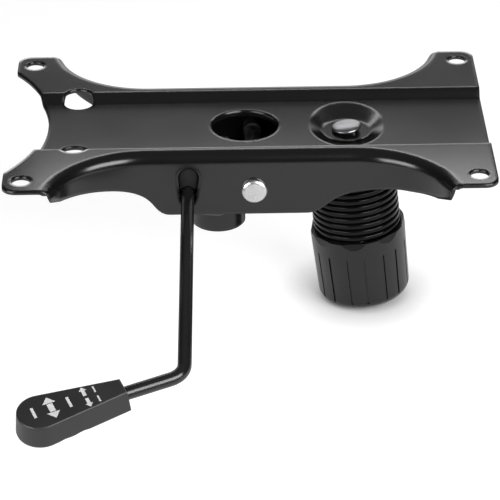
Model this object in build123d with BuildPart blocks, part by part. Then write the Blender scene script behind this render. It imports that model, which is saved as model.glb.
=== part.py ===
from build123d import *
import math
import os

os.makedirs("parts", exist_ok=True)

# Sheet metal of the seat plate
plate_t = 2.3
bend_r = 6.3                # outer radius of the bend between top face and flange
bend_y = 40.0               # the bend starts here on the straight middle
flare_x = 59.0              # the straight middle ends here
flare_r = 62.0              # arc of the flaring bend line
flare_deg = 72.0            # the bend line runs on to the ear's edge at this angle
skirt_depth = 39.4          # deepest point of the flange below the top face

# Plan of the seat plate
hole_pitch_x = 260.0
hole_pitch_y = 152.0
ear_hole_d = 11.0
front_edge_x = 140.3
rear_edge_x = -140.5
ear_edge_y = 88.5
ear_corner_r = 8.0
rear_arc_r = 109.0
rear_arc_apex_x = -118.3

# Valley, dish and holes of the seat plate
valley_depth = 5.0
valley_floor_y = 31.8
valley_crest_y = 36.1
valley_crest_r = 4.0
valley_foot_r = 3.0
centre_hole_d = 40.0
centre_hole_x = -2.1
centre_rim_depth = 4.0
fold_hole_d = 17.5
fold_hole_x = -101.7
fold_hole_y = 33.0
dish_x = 58.2
dish_len_x = 44.5
dish_len_y = 58.0
dish_floor_d = 29.0
dish_depth = 4.2

# Pivot
pivot_x = 2.6
pivot_z = -23.8
axle_d = 9.6
axle_head_d = 15.4
axle_head_h = 3.0
bush_d = 11.2
bush_len = 11.0
bush_flange_d = 15.0
bush_flange_t = 1.0
running_gap = 0.05
side_gap = 0.1
tilt_max_deg = 10.0

# Lower bracket
wall_t = 2.5
wall_gap = 4.0              # from bracket wall to seat plate flange
bracket_rear_x = -53.0
bracket_low_x = -18.0
bracket_low_z = -46.3
bracket_rear_z = -42.5
ramp_deg = 20.0
nose_deg = 6.4              # the bolt and spring axis leans by the same angle
nose_z = -28.0              # underside of the nose on the bolt axis
bracket_front_x = 90.0
wall_top_z = -6.0
bracket_bend_r = 5.0
rear_rest_len = 8.0
front_rest_x = 52.0
front_rest_len = 26.0
rest_clear = 0.5            # wall tops stay this far below the plate at full tilt

# Column socket
socket_x = -18.6
socket_wall = 2.2           # round the straight mouth
socket_bottom_z = -68.0
socket_top_z = -31.0
socket_edge = 0.6
bore_lead_r = 14.1          # short straight mouth below the taper
bore_lead_len = 5.6
bore_step = 0.15            # from the mouth in to the lower end of the taper
bore_taper = 20.0           # diameter change is one in twenty
brace_z = -35.0
brace_x0 = -47.0
brace_x1 = 3.0

# Bolt, spring and knob
swing_z = 3.5               # centre of the ball seat under the bolt head
ball_r = 14.0
ball_gap = 0.05
bolt_head_d = 17.4
bolt_head_h = 4.0
bolt_band = 0.6
dome_flat_r = 0.4
bolt_d = 10.0
bolt_below = 101.0          # rim of the head to the end of the bolt
neck_w = 9.8
neck_len = 9.0
neck_slot_x = 12.4
neck_slot_y = 10.4
nose_hole_d = 15.0
spring_od = 52.6
wire_w = 5.6
wire_h = 3.25
spring_pitch = 4.12
spring_turns = 15.5
coil_end_gap = 0.25
spring_seat_t = 1.6
washer_t = 2.0
thread_pitch = 1.5
knob_rim_r = 28.7
knob_low_r = 27.5
knob_flat = 27.6            # across the flats at the rim, from the axis
knob_flat_slope = 0.25
knob_rim_z = -71.5          # top of the knob on its own axis
knob_h = 46.5
knob_wall_gap = 0.35
knob_edge_r = 6.0
knob_turn_deg = 262.7       # azimuth of one pair of grooves
groove_w = 1.3
groove_depth = 0.8
groove_half_deg = 10.0
groove_top = 11.0           # below the rim
groove_len = 31.0
nut_af = 17.0
nut_h = 8.0
pocket_gap = 0.1
bolt_hole_gap = 0.5
knob_floor = 3.0

# Lever
rod_d = 7.7
rod_x = -36.2
rod_z = -28.5
rod_droop_deg = 12.0
rod_yaw_deg = 0.7
rod_reach = 147.6           # flange to the corner of the rod
rod_bend_r = 12.0
rod_inner_straight = 26.0
rod_inner_run = 21.0
rod_inner_side = 17.3
lift_max_deg = 8.0
fulcrum_y = -39.0
slot_top_r = 6.1
slot_low_r = 4.8
slot_top_z = -15.3
slot_low_z = -28.6
slot_x = -35.45
shoe_face_y = 41.2
shoe_len = 12.2
shoe_nose = 3.9             # the tall part that can enter the slot
shoe_top_z = -17.1
shoe_low_z = -27.4
shoe_back_z = -16.4         # top of the low part inside the bracket
shoe_gap = 0.4
shoe_lip_t = 3.0
shoe_lip = 3.2
window_gap = 0.2
clip_d = 11.0
clip_t = 1.0
clip_reach = 6.0            # fulcrum to the clip
clip_groove = 0.6
paddle_start = 34.9
paddle_len = 60.0
paddle_t = 14.6
paddle_top = 6.6
paddle_half = 5.8
paddle_flare_deg = 8.5
paddle_end_round = 0.85     # corner radius at the end, as a share of its half width
rod_share = 0.6             # of the paddle's length that holds the rod
hollow_shares = (0.467, 0.642)   # places of the finger hollows along the paddle
hollow_radii = (10.0, 8.0)
hollow_depths = (1.8, 1.6)

# Values that follow from the ones above
flange_out_y = bend_y + bend_r
flange_in_y = flange_out_y - plate_t
wall_out_y = flange_in_y - wall_gap
wall_in_y = wall_out_y - wall_t
valley_under_z = -valley_depth - plate_t
ear_clear_z = -plate_t - 0.9    # the flanges are cut below this, the ears above it are not
bore_cone_r = bore_lead_r - bore_step
socket_d = 2 * (bore_lead_r + socket_wall)
block_x = front_edge_x + 25.0   # half size of the block that the pressing is cut from
block_y = ear_edge_y + 32.0


# Notch beside the flaring bend line, moved out from it by a distance
def notch_sketch(away):
    with BuildSketch(Plane.XY) as notch:
        with BuildLine():
            straight = Line((0, bend_y + away), (flare_x, bend_y + away))
            flare = CenterArc((flare_x, bend_y + flare_r), flare_r - away, -90, flare_deg)
            side = PolarLine(flare @ 1, ear_edge_y - bend_y, flare_deg)
            far = Line(side @ 1, (0, (side @ 1).Y))
            Line(far @ 1, straight @ 0)
        make_face()
        mirror(about=Plane.YZ)
        mirror(about=Plane.XZ)
    return notch.sketch


# Air above the plate: flat on the rims and ears, lower along the valley
def valley_sketch(away):
    air_y = 2 * valley_crest_y
    air_top = 6 * valley_depth
    with BuildSketch(Plane.YZ) as air:
        with BuildLine():
            Polyline(
                (-air_y, 0), (-valley_crest_y, 0), (-valley_floor_y, -valley_depth),
                (valley_floor_y, -valley_depth), (valley_crest_y, 0), (air_y, 0), (air_y, air_top),
                (-air_y, air_top), close=True,
            )
        make_face()
        inner = air.vertices().filter_by(lambda v: abs(v.X) < valley_crest_y + 1)
        fillet(inner.filter_by(lambda v: v.Y == 0), valley_crest_r)
        fillet(inner.filter_by(lambda v: v.Y < 0), valley_foot_r)
        if away:
            offset(amount=away)
    return air.sketch


# Outer skin of the pressing, a block with the bends rounded
with BuildPart() as skin:
    with BuildSketch(Plane.XY):
        Rectangle(2 * block_x, 2 * block_y)
        add(notch_sketch(bend_r), mode=Mode.SUBTRACT)
    extrude(amount=-60)
    top_edges = skin.edges().group_by(Axis.Z)[-1]
    fillet(top_edges.filter_by(lambda e: abs(e.center().X) < block_x - 1 and abs(e.center().Y) < block_y - 1), bend_r)
    add(extrude(valley_sketch(0), amount=200, both=True, mode=Mode.PRIVATE), mode=Mode.SUBTRACT)

# Space inside the pressing, one sheet thickness in
with BuildPart() as hollow:
    with BuildSketch(Plane.XY.offset(-plate_t)):
        Rectangle(2 * block_x + 10, 2 * block_y + 10)
        add(notch_sketch(bend_r - plate_t), mode=Mode.SUBTRACT)
    extrude(amount=-60)
    top_edges = hollow.edges().group_by(Axis.Z)[-1]
    fillet(
        top_edges.filter_by(lambda e: abs(e.center().X) < block_x - 1 and abs(e.center().Y) < block_y - 1),
        bend_r - plate_t,
    )
    add(extrude(valley_sketch(plate_t), amount=200, both=True, mode=Mode.PRIVATE), mode=Mode.SUBTRACT)


# Measured lower edge of the flange, from each ear to the belly
rear_edge = [
    (-108.3, -13.6), (-98.8, -16.8), (-82.1, -20.7), (-68.4, -24.3),
    (-58.2, -30.5), (-53.0, -36.8), (-46.5, -skirt_depth),
]
front_edge = [
    (33.0, -skirt_depth), (41.5, -36.6), (49.0, -30.9), (58.2, -26.8),
    (70.0, -24.4), (88.0, -21.1), (107.0, -16.6),
]
rear_end_x = -114.8
rear_end_mid = (-112.3, -9.0)
front_end_x = 115.4
front_end_mid = (112.3, -11.2)


# Egg-shaped outline of the lever slot, wide end up
def egg_sketch(top_r, top_z, low_r, low_z):
    with BuildSketch(Plane.XZ) as egg:
        with Locations((slot_x, top_z)):
            Circle(top_r)
        with Locations((rod_x + 0.2, low_z)):
            Circle(low_r)
        make_hull()
    return egg.sketch


# Line of the bolt, spring and knob, from the ball centre downward
lean = math.radians(nose_deg)
ball_centre = Vector(dish_x - (swing_z + 8.0) * math.tan(lean), 0, swing_z)
line = Plane(
    origin=ball_centre,
    x_dir=(math.cos(lean), 0, math.sin(lean)),
    z_dir=(-math.sin(lean), 0, math.cos(lean)),
)
nose_h = (nose_z - swing_z) / math.cos(lean)
rim_h = (knob_rim_z - swing_z) / math.cos(lean)

# What the lower edge of the flanges leaves, with room for the valley between them
with BuildPart() as side_trim:
    with BuildSketch(Plane.XZ):
        with BuildLine():
            tail = ThreePointArc((rear_end_x, ear_clear_z), rear_end_mid, rear_edge[0])
            rear = Spline(rear_edge, tangents=[(1, -0.5), (1, 0)])
            belly = Line(rear_edge[-1], front_edge[0])
            front = Spline(front_edge, tangents=[(1, 0), (1, 0.3)])
            head = ThreePointArc(front_edge[-1], front_end_mid, (front_end_x, ear_clear_z))
            Polyline(
                head @ 1, (block_x, ear_clear_z), (block_x, 5), (-block_x, 5), (-block_x, ear_clear_z),
                tail @ 0,
            )
        make_face()
    extrude(amount=120, both=True)
    Box(2 * block_x, 2 * bend_y - 4, 24)

# Seat plate, one pressing
with BuildPart() as seat_plate:
    add(skin.part)
    add(hollow.part, mode=Mode.SUBTRACT)
    # dish for the bolt head, pressed down from the valley floor
    wall_grow = plate_t * math.tan(math.radians(15))
    with BuildSketch(Plane.XY.offset(valley_under_z + 0.5)):
        with Locations((dish_x, 0)):
            Ellipse(dish_len_x / 2 + wall_grow, dish_len_y / 2 + wall_grow)
    with BuildSketch(Plane.XY.offset(valley_under_z - dish_depth)):
        with Locations((dish_x, 0)):
            Circle(dish_floor_d / 2 + wall_grow)
    loft()
    with BuildSketch(Plane.XY.offset(-valley_depth)):
        with Locations((dish_x, 0)):
            Ellipse(dish_len_x / 2, dish_len_y / 2)
    with BuildSketch(Plane.XY.offset(-valley_depth - dish_depth)):
        with Locations((dish_x, 0)):
            Circle(dish_floor_d / 2)
    loft(mode=Mode.SUBTRACT)
    # centre hole with its turned-down rim
    with BuildSketch(Plane.XY.offset(-valley_depth - plate_t / 2)):
        with Locations((centre_hole_x, 0)):
            Circle(centre_hole_d / 2 + plate_t)
    extrude(amount=plate_t / 2 - centre_rim_depth)
    with Locations((centre_hole_x, 0, -valley_depth)):
        Hole(centre_hole_d / 2, depth=40)
    # plan outline with the four ears and the hollowed rear edge
    with BuildSketch(Plane.XY.offset(1)) as plan:
        with Locations(((front_edge_x + rear_edge_x) / 2, 0)):
            Rectangle(front_edge_x - rear_edge_x, 2 * ear_edge_y)
        fillet(plan.vertices(), ear_corner_r)
        with Locations((rear_arc_apex_x - rear_arc_r, 0)):
            Circle(rear_arc_r, mode=Mode.SUBTRACT)
        fillet(plan.vertices().filter_by(lambda v: v.X < -130 and abs(v.Y) < 75), 4.0)
    extrude(amount=-90, mode=Mode.INTERSECT)
    # lower edge of the flanges, seen from the side
    add(side_trim.part, mode=Mode.INTERSECT)
    # holes: ears, rear valley, pivot, lever slot
    with GridLocations(hole_pitch_x, hole_pitch_y, 2, 2):
        Hole(ear_hole_d / 2, depth=20)
    with Locations((fold_hole_x, fold_hole_y), (fold_hole_x, -fold_hole_y)):
        Hole(fold_hole_d / 2, depth=20)
    with BuildSketch(Plane.XZ):
        with Locations((pivot_x, pivot_z)):
            Circle(axle_d / 2)
    extrude(amount=80, both=True, mode=Mode.SUBTRACT)
    slot = egg_sketch(slot_top_r, slot_top_z, slot_low_r, slot_low_z)
    add(extrude(slot, amount=80, mode=Mode.PRIVATE), mode=Mode.SUBTRACT)
    # hole for the square neck, its upper edge coined to the ball under the head
    with BuildSketch(Plane.XY.offset(5)):
        with Locations((dish_x - 0.4, 0)):
            RectangleRounded(neck_slot_x, neck_slot_y, 1.5)
    extrude(amount=-40, mode=Mode.SUBTRACT)
    with Locations(ball_centre):
        Sphere(ball_r + ball_gap, mode=Mode.SUBTRACT)
seat_plate.part.label = "seat_plate"
export_step(seat_plate.part, "parts/seat_plate.step")

# Lower bracket, a channel folded up at both sides
slope = math.tan(lean)
rise = math.tan(math.radians(ramp_deg))
axis_nose_x = (line * Pos(0, 0, nose_h)).position.X
ramp_end_x = (nose_z - slope * axis_nose_x - bracket_low_z + rise * bracket_low_x) / (rise - slope)
ramp_end_z = bracket_low_z + rise * (ramp_end_x - bracket_low_x)
nose_front_z = nose_z + slope * (bracket_front_x - axis_nose_x)
tilt = math.radians(tilt_max_deg)
rest_step = -plate_t - wall_top_z - rest_clear
seat_rear_z = pivot_z + (wall_top_z - pivot_z) / math.cos(tilt) + (bracket_rear_x - pivot_x) * math.tan(tilt)
seat_front_z = seat_rear_z + rear_rest_len * math.tan(tilt)
knee_x = bracket_rear_x + rear_rest_len + (wall_top_z - seat_front_z - rest_step) / math.tan(tilt)
with BuildPart() as lower_bracket:
    with BuildSketch(Plane.XZ) as side:
        Polygon(
            (bracket_rear_x, bracket_rear_z), (bracket_low_x, bracket_low_z), (ramp_end_x, ramp_end_z),
            (bracket_front_x, nose_front_z), (bracket_front_x, wall_top_z), (knee_x, wall_top_z),
            (bracket_rear_x + rear_rest_len, seat_front_z + rest_step),
            (bracket_rear_x + rear_rest_len, seat_front_z), (bracket_rear_x, seat_rear_z), align=None,
        )
        fillet(side.vertices().filter_by(lambda v: abs(v.X - bracket_low_x) < 1), 6.0)
        fillet(side.vertices().filter_by(lambda v: abs(v.X - ramp_end_x) < 1), 12.0)
        fillet(side.vertices().filter_by(lambda v: v.X > 80 and v.Y > -10), 6.0)
    extrude(amount=wall_out_y, both=True)
    floor_edges = lower_bracket.edges().filter_by(
        lambda e: abs(abs(e.center().Y) - wall_out_y) < 0.01 and e.center().Z < -24
        and abs(e.center().X - bracket_rear_x) > 1 and abs(e.center().X - bracket_front_x) > 1
    )
    fillet(floor_edges, bracket_bend_r)
    with BuildSketch(Plane.XZ) as inner:
        Polygon(
            (bracket_rear_x - 5, bracket_rear_z + wall_t + 5 * (bracket_rear_z - bracket_low_z)
             / (bracket_low_x - bracket_rear_x)),
            (bracket_low_x, bracket_low_z + wall_t * 1.02),
            (ramp_end_x, ramp_end_z + wall_t),
            (bracket_front_x + 5, nose_front_z + wall_t + 5 * slope), (bracket_front_x + 5, 10),
            (bracket_rear_x - 5, 10), align=None,
        )
        fillet(inner.vertices().filter_by(lambda v: abs(v.X - bracket_low_x) < 1), 3.5)
        fillet(inner.vertices().filter_by(lambda v: abs(v.X - ramp_end_x) < 1), 14.5)
    channel = extrude(amount=wall_in_y, both=True, mode=Mode.PRIVATE)
    low_edges = channel.edges().filter_by(
        lambda e: abs(abs(e.center().Y) - wall_in_y) < 0.01 and e.center().Z < -15
        and -bracket_front_x < e.center().X < bracket_front_x
    )
    add(channel.fillet(bracket_bend_r - wall_t, low_edges), mode=Mode.SUBTRACT)
    # holes: pivot bushes, lever window, column socket, tension bolt
    with BuildSketch(Plane.XZ):
        with Locations((pivot_x, pivot_z)):
            Circle(bush_d / 2)
    extrude(amount=60, both=True, mode=Mode.SUBTRACT)
    with Locations((socket_x, 0, 0)):
        Hole(socket_d / 2, depth=80)
    with Locations(line.offset(nose_h + 20)):
        Hole(nose_hole_d / 2, depth=40)
    window = egg_sketch(
        slot_top_r - shoe_gap + window_gap, shoe_top_z, slot_low_r - shoe_gap + window_gap, shoe_low_z,
    )
    add(extrude(window, amount=60, mode=Mode.PRIVATE), mode=Mode.SUBTRACT)
lower_bracket.part.label = "lower_bracket"
export_step(lower_bracket.part, "parts/lower_bracket.step")

# Brace across the walls that holds the column socket a second time
with BuildPart() as socket_brace:
    with BuildSketch(Plane.XY.offset(brace_z)) as brace:
        with Locations(((brace_x0 + brace_x1) / 2, 0)):
            Rectangle(brace_x1 - brace_x0, 2 * wall_in_y)
        fillet(brace.vertices(), 3.0)
        with Locations((socket_x, 0)):
            Circle(socket_d / 2, mode=Mode.SUBTRACT)
    extrude(amount=wall_t)
    with BuildSketch(Plane.XY.offset(brace_z)):
        with Locations((socket_x, 0)):
            Circle(socket_d / 2 + wall_t)
            Circle(socket_d / 2, mode=Mode.SUBTRACT)
    extrude(amount=wall_t + 1.0)
socket_brace.part.label = "socket_brace"
export_step(socket_brace.part, "parts/socket_brace.step")

# Column socket, a tube with a tapered bore for the gas column
with BuildPart() as column_socket:
    with BuildSketch(Plane.XZ):
        lead_top_z = socket_bottom_z + bore_lead_len
        top_r = bore_cone_r - (socket_top_z - lead_top_z) / (2 * bore_taper)
        with BuildLine():
            Polyline(
                (socket_x + bore_lead_r, socket_bottom_z),
                (socket_x + socket_d / 2 - socket_edge, socket_bottom_z),
                (socket_x + socket_d / 2, socket_bottom_z + socket_edge),
                (socket_x + socket_d / 2, socket_top_z - socket_edge),
                (socket_x + socket_d / 2 - socket_edge, socket_top_z), (socket_x + top_r, socket_top_z),
                (socket_x + bore_cone_r, lead_top_z + bore_lead_r - bore_cone_r),
                (socket_x + bore_lead_r, lead_top_z), close=True,
            )
        make_face()
    revolve(axis=Axis((socket_x, 0, 0), (0, 0, 1)))
column_socket.part.label = "column_socket"
export_step(column_socket.part, "parts/column_socket.step")

# Pivot axle, peened to a domed head at both flanges
with BuildPart() as pivot_axle:
    with BuildSketch(Plane.XZ.offset(-flange_out_y)):
        with Locations((pivot_x, pivot_z)):
            Circle(axle_d / 2)
    extrude(amount=2 * flange_out_y)
    with BuildSketch(Plane.XZ.offset(flange_out_y)):
        with Locations((pivot_x, pivot_z)):
            Circle(axle_head_d / 2)
    extrude(amount=axle_head_h)
    with BuildSketch(Plane.XZ.offset(-flange_out_y - axle_head_h)):
        with Locations((pivot_x, pivot_z)):
            Circle(axle_head_d / 2)
    extrude(amount=axle_head_h)
    ends = pivot_axle.edges().filter_by(lambda e: abs(abs(e.center().Y) - flange_out_y - axle_head_h) < 0.01)
    fillet(ends, axle_head_h - 0.5)
pivot_axle.part.label = "pivot_axle"
export_step(pivot_axle.part, "parts/pivot_axle.step")

# Flanged bushes in the bracket walls, and the spacers outside them
sleeve_end_y = wall_out_y - bush_len
for side_sign, side_name in ((-1, "near"), (1, "far")):
    face = Plane(origin=(pivot_x, side_sign * sleeve_end_y, pivot_z), z_dir=(0, side_sign, 0))
    with BuildPart() as bush:
        with BuildSketch(face):
            Circle(bush_d / 2)
        extrude(amount=bush_len)
        with BuildSketch(face.offset(bush_len)):
            Circle(bush_flange_d / 2)
        extrude(amount=bush_flange_t)
        with Locations(face.offset(bush_len + bush_flange_t)):
            Hole(axle_d / 2 + running_gap, depth=bush_len + bush_flange_t)
        fillet(bush.edges().group_by(Axis.Y)[0 if side_sign < 0 else -1].sort_by(SortBy.RADIUS)[-1], 0.3)
    bush.part.label = "bush_" + side_name
    export_step(bush.part, "parts/bush_" + side_name + ".step")
    with BuildPart() as spacer:
        with BuildSketch(face.offset(bush_len + bush_flange_t + side_gap)):
            Circle(bush_flange_d / 2 + 1.0)
            Circle(axle_d / 2 + 2 * running_gap, mode=Mode.SUBTRACT)
        extrude(amount=wall_gap - bush_flange_t - 2 * side_gap)
    spacer.part.label = "spacer_" + side_name
    export_step(spacer.part, "parts/spacer_" + side_name + ".step")

# Rubber rests clipped on the wall tops, front pair for rest, rear pair for full tilt
rest_top_z = -plate_t - side_gap
rest_leg_z = wall_top_z - 4.0


# Section of one rest, as a channel that grips the wall
def rest_section(plane, side_sign):
    with BuildSketch(plane) as section:
        Polygon(
            (side_sign * (wall_out_y + 1.1), rest_leg_z), (side_sign * (wall_out_y + 1.1), rest_top_z - 1.0),
            (side_sign * (wall_out_y + 0.1), rest_top_z), (side_sign * (wall_in_y + 0.9), rest_top_z),
            (side_sign * (wall_in_y - 1.1), wall_top_z - 0.2), (side_sign * (wall_in_y - 1.1), rest_leg_z),
            (side_sign * wall_in_y, rest_leg_z), (side_sign * wall_in_y, wall_top_z),
            (side_sign * wall_out_y, wall_top_z), (side_sign * wall_out_y, rest_leg_z), align=None,
        )
    return section.sketch


with BuildPart() as front_rests:
    for side_sign in (-1, 1):
        add(extrude(rest_section(Plane.YZ.offset(front_rest_x), side_sign), amount=front_rest_len, mode=Mode.PRIVATE))
front_rests.part.label = "front_rests"
export_step(front_rests.part, "parts/front_rests.step")

tilted = Plane(
    origin=(pivot_x, 0, pivot_z), x_dir=(0, 1, 0), z_dir=(math.cos(tilt), 0, math.sin(tilt))
).offset(bracket_rear_x - pivot_x)
tilted = Plane(origin=tilted.origin - tilted.y_dir * pivot_z, x_dir=tilted.x_dir, z_dir=tilted.z_dir)
with BuildPart() as rear_rests:
    for side_sign in (-1, 1):
        add(extrude(rest_section(tilted, side_sign), amount=rear_rest_len - rest_clear, mode=Mode.PRIVATE))
rear_rests.part.label = "rear_rests"
export_step(rear_rests.part, "parts/rear_rests.step")

# Tension bolt: ball-shaped underside, square neck, round shank
line_side = Plane(origin=ball_centre, x_dir=line.x_dir, z_dir=(0, -1, 0))
line_axis = Axis(ball_centre, line.z_dir)
head_rim_h = -math.sqrt(ball_r ** 2 - (bolt_head_d / 2) ** 2)
bolt_end_h = head_rim_h - bolt_below
shank_top_h = -math.sqrt(ball_r ** 2 - (bolt_d / 2) ** 2)
with BuildPart() as tension_bolt:
    dome_h = bolt_head_h - bolt_band
    with BuildSketch(line_side):
        with BuildLine():
            shank = Polyline(
                (0, bolt_end_h), (bolt_d / 2 - 1.0, bolt_end_h), (bolt_d / 2, bolt_end_h + 1.0),
                (bolt_d / 2, shank_top_h),
            )
            under = ThreePointArc(
                shank @ 1, (ball_r * math.sin(0.5), -ball_r * math.cos(0.5)), (bolt_head_d / 2, head_rim_h),
            )
            band = Line(under @ 1, (bolt_head_d / 2, head_rim_h + bolt_band))
            dome = ThreePointArc(
                band @ 1, (bolt_head_d / 4, head_rim_h + bolt_band + dome_h * 0.76),
                (dome_flat_r, head_rim_h + bolt_head_h),
            )
            Polyline(dome @ 1, (0, head_rim_h + bolt_head_h), shank @ 0)
        make_face()
    revolve(axis=line_axis)
    with BuildSketch(line.offset(head_rim_h + bolt_band / 2)):
        RectangleRounded(neck_w, neck_w, 0.8)
    extrude(amount=-neck_len)
tension_bolt.part.label = "tension_bolt"
export_step(tension_bolt.part, "parts/tension_bolt.step")

# Spring seat: flat ring under the nose with a collar that centres the spring
spring_in_r = spring_od / 2 - wire_w
with BuildPart() as spring_seat:
    with BuildSketch(line.offset(nose_h)):
        Circle(spring_od / 2 + 0.4)
        Circle(nose_hole_d / 2, mode=Mode.SUBTRACT)
    extrude(amount=-spring_seat_t)
    with BuildSketch(line.offset(nose_h)):
        Circle(spring_in_r - 0.5)
        Circle(spring_in_r - 0.5 - spring_seat_t, mode=Mode.SUBTRACT)
    extrude(amount=-spring_seat_t - 4.0)
spring_seat.part.label = "spring_seat"
export_step(spring_seat.part, "parts/spring_seat.step")

# Tension spring: flat wire wound in biarcs of half a turn
coil_r = (spring_od - wire_w) / 2
coil_top_h = nose_h - spring_seat_t - coil_end_gap - wire_h / 2
half_turns = int(round(2 * spring_turns))
half_drop = spring_pitch / 2


# Point of the coil line and its direction after a number of half turns
def coil_point(step):
    angle = math.pi * step + math.radians(200)
    point = Vector(coil_r * math.cos(angle), coil_r * math.sin(angle), coil_top_h - half_drop * step)
    heading = Vector(-coil_r * math.sin(angle), coil_r * math.cos(angle), -half_drop / math.pi).normalized()
    return point, heading


with BuildPart() as tension_spring:
    with BuildLine() as coil:
        for step in range(half_turns):
            start, start_dir = coil_point(step)
            finish, finish_dir = coil_point(step + 1)
            chord = finish - start
            both = start_dir + finish_dir
            a = 2 * (start_dir.dot(finish_dir) - 1)
            b = -2 * chord.dot(both)
            c = chord.dot(chord)
            reach = (-b - math.sqrt(b * b - 4 * a * c)) / (2 * a)
            corner_a = start + start_dir * reach
            corner_b = finish - finish_dir * reach
            middle = (corner_a + corner_b) * 0.5
            TangentArc(line.from_local_coords(start), line.from_local_coords(middle),
                       tangent=line.from_local_coords(start + start_dir) - line.from_local_coords(start))
            TangentArc(line.from_local_coords(middle), line.from_local_coords(finish),
                       tangent=line.from_local_coords(corner_b) - line.from_local_coords(corner_a))
    first, first_dir = coil_point(0)
    out_dir = Vector(first.X, first.Y, 0).normalized()
    wire_plane = Plane(
        origin=line.from_local_coords(first),
        x_dir=line.from_local_coords(out_dir) - line.origin,
        z_dir=line.from_local_coords(first_dir) - line.origin,
    )
    with BuildSketch(wire_plane) as wire:
        Rectangle(wire_w, wire_h)
        chamfer(wire.vertices(), 0.6)
    coil_start = line.from_local_coords((0, 0, coil_top_h))
    coil_end = line.from_local_coords((0, 0, coil_top_h - half_turns * half_drop))
    sweep(path=coil.wires()[0], binormal=Edge.make_line(coil_start, coil_end))
tension_spring.part.label = "tension_spring"
export_step(tension_spring.part, "parts/tension_spring.step")
print("least gap of the spring to itself, mm:", round(spring_pitch - wire_h, 3))

# Thrust washer under the spring, with a collar inside the last turns
spring_low_h = coil_top_h - half_turns * half_drop - wire_h / 2
washer_h = spring_low_h - coil_end_gap
with BuildPart() as thrust_washer:
    with BuildSketch(line.offset(washer_h)):
        Circle(spring_od / 2)
        Circle(bolt_d / 2 + 0.1, mode=Mode.SUBTRACT)
    extrude(amount=-washer_t)
    with BuildSketch(line.offset(washer_h)):
        Circle(spring_in_r - 0.5)
        Circle(spring_in_r - 0.5 - spring_seat_t, mode=Mode.SUBTRACT)
    extrude(amount=4.0)
thrust_washer.part.label = "thrust_washer"
export_step(thrust_washer.part, "parts/thrust_washer.step")

# Nut pressed into the knob
shelf_h = washer_h - washer_t - side_gap
with BuildPart() as knob_nut:
    with BuildSketch(line.offset(shelf_h)):
        RegularPolygon(nut_af / 2, 6, major_radius=False)
        Circle(bolt_d / 2 + running_gap, mode=Mode.SUBTRACT)
    extrude(amount=-nut_h)
    rims = knob_nut.edges().filter_by(GeomType.CIRCLE)
    chamfer(rims, 0.5)
knob_nut.part.label = "knob_nut"
export_step(knob_nut.part, "parts/knob_nut.step")

# Tension knob: deep cup around the spring, flats at the rim, grooves in pairs
knob_low_h = rim_h - knob_h
with BuildPart() as tension_knob:
    with BuildSketch(line_side) as half:
        with BuildLine():
            Polyline(
                (0, rim_h), (knob_rim_r, rim_h), (knob_low_r, knob_low_h), (0, knob_low_h), close=True,
            )
        make_face()
        fillet(half.vertices().filter_by(lambda v: v.Y < rim_h - 10 and v.X > 5), knob_edge_r)
    revolve(axis=line_axis)
    with BuildSketch(line.offset(rim_h)):
        RegularPolygon(knob_flat, 8, major_radius=False, rotation=knob_turn_deg + 22.5)
    with BuildSketch(line.offset(knob_low_h)):
        RegularPolygon(
            knob_flat + knob_flat_slope * knob_h, 8, major_radius=False, rotation=knob_turn_deg + 22.5,
        )
    loft(ruled=True, mode=Mode.INTERSECT)
    with BuildSketch(line.offset(rim_h)):
        Circle(spring_od / 2 + knob_wall_gap)
    extrude(amount=shelf_h - rim_h, mode=Mode.SUBTRACT)
    with BuildSketch(line.offset(shelf_h)):
        RegularPolygon(nut_af / 2, 6, major_radius=False)
    extrude(amount=-nut_h, mode=Mode.SUBTRACT)
    with BuildSketch(line.offset(shelf_h - nut_h)):
        Circle(bolt_d / 2 + bolt_hole_gap)
    extrude(amount=knob_low_h + knob_floor - shelf_h + nut_h, mode=Mode.SUBTRACT)
    taper = math.degrees(math.atan((knob_rim_r - knob_low_r) / knob_h))
    groove_mid = groove_top + groove_len / 2
    groove_r = knob_rim_r - (knob_rim_r - knob_low_r) * groove_mid / knob_h
    for side_sign in (-1, 1):
        with Locations(line.offset(rim_h - groove_mid)):
            with PolarLocations(groove_r, 8, start_angle=knob_turn_deg + side_sign * groove_half_deg):
                Box(2 * groove_depth, groove_w, groove_len, rotation=(0, taper, 0), mode=Mode.SUBTRACT)
tension_knob.part.label = "tension_knob"
export_step(tension_knob.part, "parts/tension_knob.step")

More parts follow.
